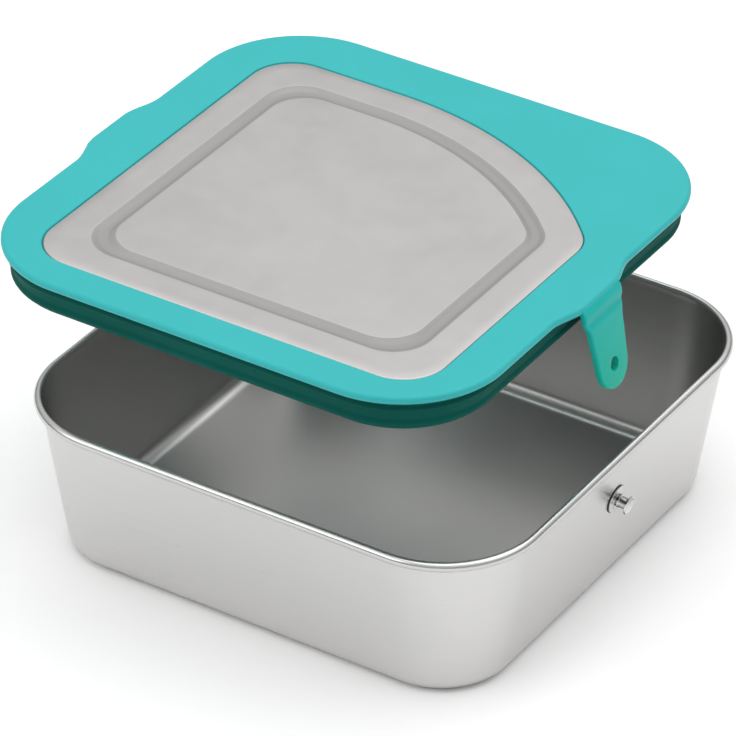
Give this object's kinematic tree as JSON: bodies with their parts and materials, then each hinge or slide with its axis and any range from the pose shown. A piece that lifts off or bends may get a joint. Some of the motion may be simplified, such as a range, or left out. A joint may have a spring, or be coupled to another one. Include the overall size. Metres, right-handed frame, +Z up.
{
  "type": "snap lid food container",
  "caption": "Square stainless steel food container with a silicone-framed steel lid held by stretch straps that button onto side studs.",
  "frame": {"origin": "centre of the tub's flat base, on the surface it stands on", "axes": "+Z up; the latch studs are on the -X and +X walls; the lid is stored lifted off, straps hanging from its -X and +X edges"},
  "size_m": [0.2118, 0.1934, 0.119],
  "materials": {
    "tub_steel": "satin brushed stainless steel",
    "stud_steel": "polished stainless steel",
    "plate_steel": "matte stainless steel",
    "silicone": "matte turquoise silicone",
    "silicone_shade": "matte turquoise silicone"
  },
  "bodies": {
    "tub": {"tub": "tub_steel", "stud_washer_right": "tub_steel", "stud_washer_left": "tub_steel", "stud_right": "stud_steel", "stud_left": "stud_steel"},
    "lid": {"lid_plate": "plate_steel", "lid_frame": "silicone", "lid_seal": "silicone_shade"},
    "strap_right": {"strap_right": "silicone"},
    "strap_left": {"strap_left": "silicone"}
  },
  "joints": [
    {"name": "lid_lift", "type": "slide", "parent": "tub", "child": "lid", "axis": [-0.2042, -0.0927, 0.9745], "range_m": [-0.05828, 0.04]},
    {"name": "strap_right_fold", "type": "hinge", "parent": "lid", "child": "strap_right", "pos_m": [0.08485, -0.0054, 0.1144], "axis": [0, -1, 0], "range_deg": [-23.5, 78], "stiffness_Nm_per_rad": 0.012},
    {"name": "strap_left_fold", "type": "hinge", "parent": "lid", "child": "strap_left", "pos_m": [-0.10865, -0.0054, 0.1144], "axis": [0, 1, 0], "range_deg": [-23.5, 78], "stiffness_Nm_per_rad": 0.012}
  ]
}
